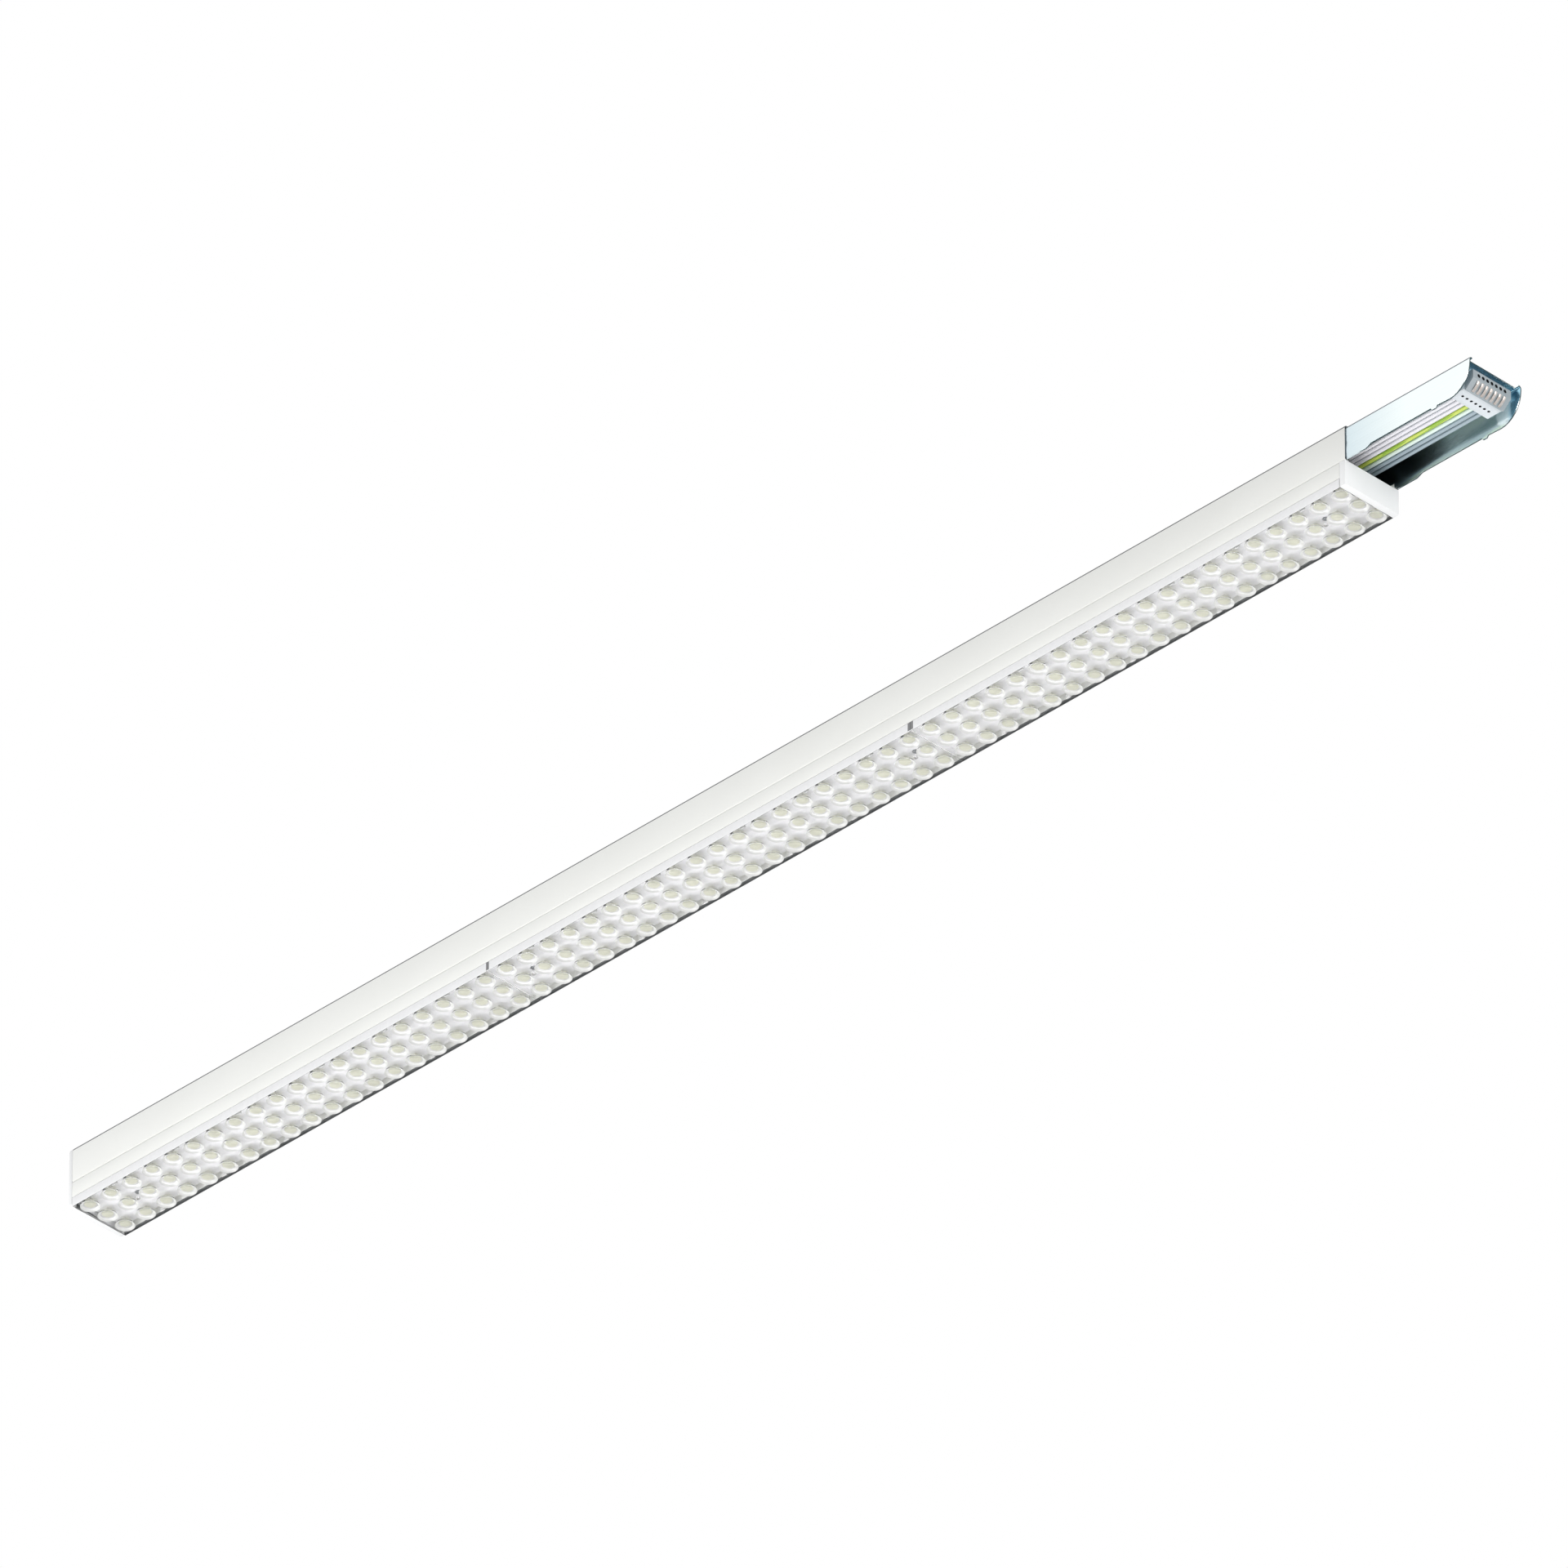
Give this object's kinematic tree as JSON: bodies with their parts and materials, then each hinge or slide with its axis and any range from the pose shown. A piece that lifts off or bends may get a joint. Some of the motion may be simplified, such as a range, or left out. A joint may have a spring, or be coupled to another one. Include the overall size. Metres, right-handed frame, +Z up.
{
  "type": "led strip batten",
  "caption": "Suspended LED batten: white trunking with through-wiring, a clip-in gear tray with lens plates, and a coupling sleeve with a connector at one end.",
  "frame": {"origin": "middle of the trunking's top face, the face that meets the ceiling", "axes": "+X along the batten towards the coupling sleeve, +Z up to the ceiling, light goes towards -Z"},
  "size_m": [1.8444, 0.071, 0.0663],
  "materials": {
    "white_paint": "satin powder coat",
    "white_plastic": "satin",
    "zinc_steel": "bright zinc plate",
    "grey_plastic": "satin",
    "contact_copper": "bright",
    "screw_steel": "plated",
    "spring_steel": "bright",
    "wire_grey": "smooth",
    "wire_green_yellow": "smooth",
    "wire_pale_blue": "smooth",
    "wire_blue": "smooth",
    "wire_slate": "smooth",
    "wire_black": "smooth",
    "wire_red": "smooth",
    "board_white": "solder resist",
    "clear_plastic": "clear acrylic",
    "driver_shell": "satin",
    "circuit_green": "solder resist"
  },
  "bodies": {
    "trunking_body": {"trunking_profile": "white_paint", "end_cover": "white_plastic", "start_connector": "white_plastic", "coupler_sleeve": "zinc_steel", "coupler_screw_1": "screw_steel", "coupler_screw_2": "screw_steel", "connector_housing": "white_plastic", "connector_front": "grey_plastic", "contact_1": "contact_copper", "contact_2": "contact_copper", "contact_3": "contact_copper", "contact_4": "contact_copper", "contact_5": "contact_copper", "contact_6": "contact_copper", "contact_7": "contact_copper", "wire_line_1": "wire_grey", "wire_line_2": "wire_grey", "wire_line_3": "wire_grey", "wire_earth": "wire_green_yellow", "wire_neutral": "wire_pale_blue", "wire_control_1": "wire_slate", "wire_control_2": "wire_slate", "wire_comb_1": "white_plastic", "wire_comb_2": "white_plastic", "wire_comb_3": "white_plastic", "feed_socket": "white_plastic"},
    "tray_body": {"gear_tray": "white_paint", "tray_end_cap": "white_plastic", "spring_clip_1": "spring_steel", "spring_clip_2": "spring_steel", "spring_clip_3": "spring_steel", "spring_clip_4": "spring_steel", "clip_screw_1": "screw_steel", "clip_screw_2": "screw_steel", "clip_screw_3": "screw_steel", "clip_screw_4": "screw_steel", "led_board_1": "board_white", "led_board_2": "board_white", "led_board_3": "board_white", "lens_plate_1": "clear_plastic", "lens_plate_2": "clear_plastic", "lens_plate_3": "clear_plastic", "board_link_1": "white_plastic", "board_link_2": "white_plastic", "board_connector": "white_plastic", "driver_base": "driver_shell", "driver_cover": "driver_shell", "driver_circuit": "circuit_green", "driver_input_terminal": "white_plastic", "driver_output_terminal": "white_plastic", "driver_screw_1": "screw_steel", "driver_screw_2": "screw_steel", "plug_body": "white_plastic", "lead_live": "wire_black", "lead_earth": "wire_green_yellow", "lead_neutral": "wire_blue", "output_lead_minus": "wire_black", "output_lead_plus": "wire_red"},
    "selector_body": {"phase_selector": "grey_plastic"}
  },
  "joints": [
    {"name": "tray_drop", "type": "slide", "parent": "trunking_body", "child": "tray_body", "axis": [0, 0, -1], "range_m": [0, 0.08], "deforming": ["spring_clip_1", "spring_clip_2", "spring_clip_3", "spring_clip_4"]},
    {"name": "phase_select", "type": "slide", "parent": "tray_body", "child": "selector_body", "axis": [0, 1, 0], "range_m": [0, 0.01146]}
  ]
}
